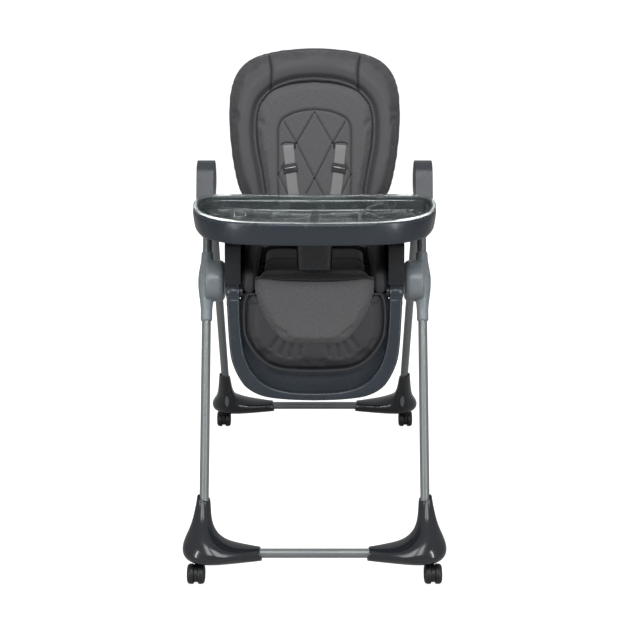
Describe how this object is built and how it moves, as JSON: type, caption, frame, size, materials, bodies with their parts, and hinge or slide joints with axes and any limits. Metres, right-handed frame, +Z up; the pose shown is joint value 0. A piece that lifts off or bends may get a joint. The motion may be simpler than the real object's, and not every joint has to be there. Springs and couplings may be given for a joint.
{
  "type": "folding high chair",
  "caption": "Folding A-frame baby high chair with height-adjustable reclining seat, lifting leg rest, harness, removable tray with clear liner and swivel casters.",
  "frame": {"origin": "on the floor under the middle of the whole chair", "axes": "+Z up, the child faces -Y, +X is the child's left"},
  "size_m": [0.5802, 0.862, 1.0688],
  "materials": {
    "frame_tube": "satin grey enamel",
    "steel": "zinc plated",
    "caster_plastic": "moulded black",
    "grey_plastic": "fine texture",
    "black_plastic": "fine texture",
    "melange_fabric": "melange weave",
    "faux_leather": "fine grain",
    "webbing": "woven webbing",
    "clear_plastic": "clear moulding",
    "gloss_slate": "gloss",
    "slate_plastic": "semi-gloss"
  },
  "bodies": {
    "front_frame": {"front_leg_left": "frame_tube", "front_leg_right": "frame_tube", "front_foot_left": "gloss_slate", "front_foot_right": "gloss_slate", "front_crossbar": "frame_tube", "front_foot_screws": "steel", "hinge_housing_left": "slate_plastic", "hinge_housing_right": "slate_plastic", "fold_pins": "steel"},
    "rear_frame": {"rear_leg_left": "frame_tube", "rear_leg_right": "frame_tube", "rear_foot_left": "gloss_slate", "rear_foot_right": "gloss_slate", "rear_crossbar": "frame_tube", "rear_foot_screws": "steel", "rear_knuckle_left": "slate_plastic", "rear_knuckle_right": "slate_plastic"},
    "seat": {"slider_left": "grey_plastic", "slider_right": "grey_plastic", "seat_pan": "slate_plastic", "seat_side_left": "slate_plastic", "seat_side_right": "slate_plastic", "armrest_left": "slate_plastic", "armrest_right": "slate_plastic", "seat_pins": "steel", "seat_cushion": "melange_fabric", "harness_buckle": "black_plastic", "lap_straps": "webbing"},
    "backrest": {"back_shell": "slate_plastic", "back_cushion": "faux_leather", "back_insert": "melange_fabric", "shoulder_straps": "webbing", "strap_adjusters": "black_plastic"},
    "recline_lever": {"recline_handle": "black_plastic"},
    "leg_rest": {"leg_shell": "slate_plastic", "leg_pad": "faux_leather", "calf_flap": "melange_fabric"},
    "tray_body": {"tray": "slate_plastic", "crotch_post": "slate_plastic"},
    "liner": {"tray_liner": "clear_plastic"},
    "fold_button_left": {"fold_button_left": "black_plastic"},
    "height_button_left": {"height_button_left": "black_plastic"},
    "tray_catch_left": {"tray_catch_left": "black_plastic"},
    "fold_button_right": {"fold_button_right": "black_plastic"},
    "height_button_right": {"height_button_right": "black_plastic"},
    "tray_catch_right": {"tray_catch_right": "black_plastic"},
    "caster_front_left": {"caster_hood_front_left": "caster_plastic"},
    "wheels_front_left": {"caster_wheels_front_left": "caster_plastic"},
    "caster_front_right": {"caster_hood_front_right": "caster_plastic"},
    "wheels_front_right": {"caster_wheels_front_right": "caster_plastic"},
    "caster_rear_left": {"caster_hood_rear_left": "caster_plastic"},
    "wheels_rear_left": {"caster_wheels_rear_left": "caster_plastic"},
    "caster_rear_right": {"caster_hood_rear_right": "caster_plastic"},
    "wheels_rear_right": {"caster_wheels_rear_right": "caster_plastic"}
  },
  "joints": [
    {"name": "frame_fold", "type": "hinge", "parent": "front_frame", "child": "rear_frame", "pos_m": [0, 0.03899, 0.8], "axis": [-1, 0, 0], "range_deg": [0, 34]},
    {"name": "seat_height", "type": "slide", "parent": "front_frame", "child": "seat", "axis": [0, -0.4571, -0.8894], "range_m": [0, 0.22]},
    {"name": "back_recline", "type": "hinge", "parent": "seat", "child": "backrest", "pos_m": [0, 0.135, 0.632], "axis": [-1, 0, 0], "range_deg": [0, 30]},
    {"name": "recline_squeeze", "type": "slide", "parent": "backrest", "child": "recline_lever", "axis": [0, 0.3007, 0.9537], "range_m": [0, 0.008], "stiffness_N_per_m": 600, "springref_m": -0.002},
    {"name": "leg_rest_lift", "type": "hinge", "parent": "seat", "child": "leg_rest", "pos_m": [0, -0.161, 0.59], "axis": [-1, 0, 0], "range_deg": [0, 60]},
    {"name": "tray_depth", "type": "slide", "parent": "seat", "child": "tray_body", "axis": [0, -1, 0], "range_m": [0, 0.06]},
    {"name": "liner_lift", "type": "slide", "parent": "tray_body", "child": "liner", "axis": [0, 0, 1], "range_m": [0, 0.06]},
    {"name": "fold_button_left_press", "type": "slide", "parent": "front_frame", "child": "fold_button_left", "axis": [-1, 0, 0], "range_m": [0, 0.003], "stiffness_N_per_m": 800, "springref_m": -0.001},
    {"name": "height_button_left_press", "type": "slide", "parent": "seat", "child": "height_button_left", "axis": [0, -1, 0], "range_m": [0, 0.004], "stiffness_N_per_m": 800, "springref_m": -0.001},
    {"name": "tray_catch_left_press", "type": "slide", "parent": "tray_body", "child": "tray_catch_left", "axis": [-1, 0, 0], "range_m": [0, 0.004], "stiffness_N_per_m": 800, "springref_m": -0.001},
    {"name": "fold_button_right_press", "type": "slide", "parent": "front_frame", "child": "fold_button_right", "axis": [1, 0, 0], "range_m": [0, 0.003], "stiffness_N_per_m": 800, "springref_m": -0.001},
    {"name": "height_button_right_press", "type": "slide", "parent": "seat", "child": "height_button_right", "axis": [0, -1, 0], "range_m": [0, 0.004], "stiffness_N_per_m": 800, "springref_m": -0.001},
    {"name": "tray_catch_right_press", "type": "slide", "parent": "tray_body", "child": "tray_catch_right", "axis": [1, 0, 0], "range_m": [0, 0.004], "stiffness_N_per_m": 800, "springref_m": -0.001},
    {"name": "swivel_front_left", "type": "hinge", "parent": "front_frame", "child": "caster_front_left", "pos_m": [0.258, -0.386, 0.05], "axis": [0, 0, 1], "continuous": true},
    {"name": "roll_front_left", "type": "hinge", "parent": "caster_front_left", "child": "wheels_front_left", "pos_m": [0.258, -0.401, 0.022], "axis": [1, 0, 0], "continuous": true},
    {"name": "swivel_front_right", "type": "hinge", "parent": "front_frame", "child": "caster_front_right", "pos_m": [-0.258, -0.386, 0.05], "axis": [0, 0, 1], "continuous": true},
    {"name": "roll_front_right", "type": "hinge", "parent": "caster_front_right", "child": "wheels_front_right", "pos_m": [-0.258, -0.401, 0.022], "axis": [1, 0, 0], "continuous": true},
    {"name": "swivel_rear_left", "type": "hinge", "parent": "rear_frame", "child": "caster_rear_left", "pos_m": [0.258, 0.386, 0.05], "axis": [0, 0, 1], "continuous": true},
    {"name": "roll_rear_left", "type": "hinge", "parent": "caster_rear_left", "child": "wheels_rear_left", "pos_m": [0.258, 0.401, 0.022], "axis": [1, 0, 0], "continuous": true},
    {"name": "swivel_rear_right", "type": "hinge", "parent": "rear_frame", "child": "caster_rear_right", "pos_m": [-0.258, 0.386, 0.05], "axis": [0, 0, 1], "continuous": true},
    {"name": "roll_rear_right", "type": "hinge", "parent": "caster_rear_right", "child": "wheels_rear_right", "pos_m": [-0.258, 0.401, 0.022], "axis": [1, 0, 0], "continuous": true}
  ]
}
